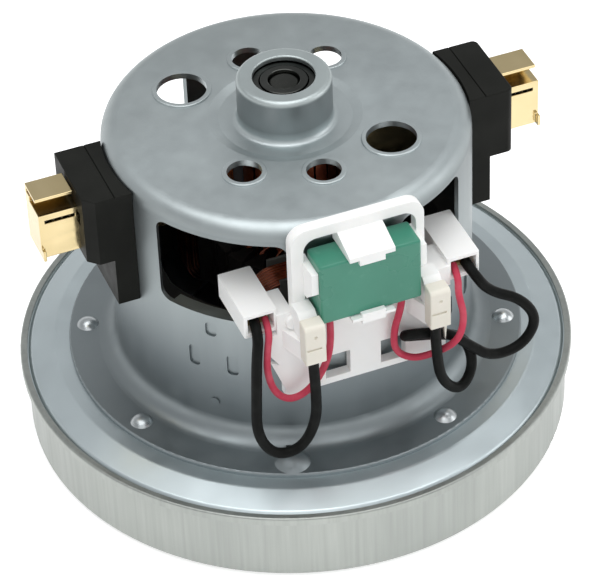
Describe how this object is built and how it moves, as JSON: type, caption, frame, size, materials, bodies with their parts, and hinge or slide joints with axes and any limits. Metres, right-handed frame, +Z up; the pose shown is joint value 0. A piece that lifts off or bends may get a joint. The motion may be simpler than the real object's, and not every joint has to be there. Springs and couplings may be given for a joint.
{
  "type": "vacuum motor unit",
  "caption": "Vacuum cleaner motor with a flat fan case, a vented bracket over the armature, brush holders at the sides and a terminal carrier with a capacitor in front.",
  "frame": {"origin": "on the shaft's axis at the fan case's flat underside", "axes": "+Z up along the shaft towards the top bearing, X through both brush holders, terminal carrier on the -Y side"},
  "size_m": [0.1454, 0.1454, 0.1043],
  "materials": {
    "case_steel": "brushed band",
    "plate_steel": "satin",
    "bracket_steel": "zinc plated, satin",
    "rivet_steel": "bright",
    "bearing_steel": "ground",
    "shaft_steel": "ground",
    "fan_aluminium": "mill",
    "lamination_steel": "stacked sheet",
    "copper": "enamelled or bare copper",
    "brass": "bright",
    "black_plastic": "satin",
    "white_plastic": "satin",
    "cream_plastic": "satin",
    "grey_plastic": "moulded",
    "green_coating": "dipped coating",
    "hub_plastic": "phenolic",
    "carbon": "pressed carbon",
    "spring_steel": "drawn",
    "black_rubber": "soft wire cover",
    "red_rubber": "soft wire cover"
  },
  "bodies": {
    "stator": {"fan_case": "case_steel", "end_plate": "plate_steel", "motor_bracket": "bracket_steel", "flange_rivets": "rivet_steel", "diffuser": "grey_plastic", "diffuser_screws": "rivet_steel", "top_bearing_outer_ring": "bearing_steel", "top_bearing_shield": "bearing_steel", "bottom_bearing_outer_ring": "bearing_steel", "bottom_bearing_shield": "bearing_steel", "field_core": "lamination_steel", "field_coil_front": "copper", "field_coil_rear": "copper", "coil_insulator_front": "black_plastic", "coil_insulator_rear": "black_plastic", "brush_tube_left": "brass", "brush_tube_right": "brass", "brush_spring_left": "spring_steel", "brush_spring_right": "spring_steel", "brush_holder_left": "black_plastic", "brush_holder_right": "black_plastic", "terminal_carrier": "white_plastic", "capacitor": "green_coating", "tab_housing_left": "cream_plastic", "tab_housing_right": "cream_plastic", "terminal_left": "brass", "terminal_right": "brass", "wire_black_left": "black_rubber", "wire_black_right": "black_rubber", "wire_red_left": "red_rubber", "wire_red_right": "red_rubber"},
    "rotor": {"shaft": "shaft_steel", "impeller_backplate": "fan_aluminium", "impeller_blades": "fan_aluminium", "impeller_shroud": "fan_aluminium", "impeller_washers": "rivet_steel", "impeller_nut": "rivet_steel", "impeller_spacer": "shaft_steel", "armature_core": "lamination_steel", "armature_windings": "copper", "commutator_hub": "hub_plastic", "commutator_bars": "copper", "top_bearing_inner_ring": "bearing_steel", "bottom_bearing_inner_ring": "bearing_steel"},
    "top_balls": {"top_bearing_balls": "bearing_steel"},
    "bottom_balls": {"bottom_bearing_balls": "bearing_steel"},
    "brush_left": {"carbon_brush_left": "carbon"},
    "brush_right": {"carbon_brush_right": "carbon"}
  },
  "joints": [
    {"name": "rotor_spin", "type": "hinge", "parent": "stator", "child": "rotor", "pos_m": [0, 0, 0.05], "axis": [0, 0, 1], "continuous": true},
    {"name": "top_balls_roll", "type": "hinge", "parent": "stator", "child": "top_balls", "pos_m": [0, 0, 0.0995], "axis": [0, 0, 1], "continuous": true},
    {"name": "bottom_balls_roll", "type": "hinge", "parent": "stator", "child": "bottom_balls", "pos_m": [0, 0, 0.0279], "axis": [0, 0, 1], "continuous": true},
    {"name": "brush_left_slide", "type": "slide", "parent": "stator", "child": "brush_left", "axis": [-1, 0, 0], "range_m": [0, 0.006], "stiffness_N_per_m": 150, "springref_m": -0.01, "deforming": ["brush_spring_left"]},
    {"name": "brush_right_slide", "type": "slide", "parent": "stator", "child": "brush_right", "axis": [1, 0, 0], "range_m": [0, 0.006], "stiffness_N_per_m": 150, "springref_m": -0.01, "deforming": ["brush_spring_right"]}
  ],
  "couplings": [
    {"joint": "top_balls_roll", "follows": "rotor_spin", "ratio": 0.3677},
    {"joint": "bottom_balls_roll", "follows": "rotor_spin", "ratio": 0.3677}
  ]
}
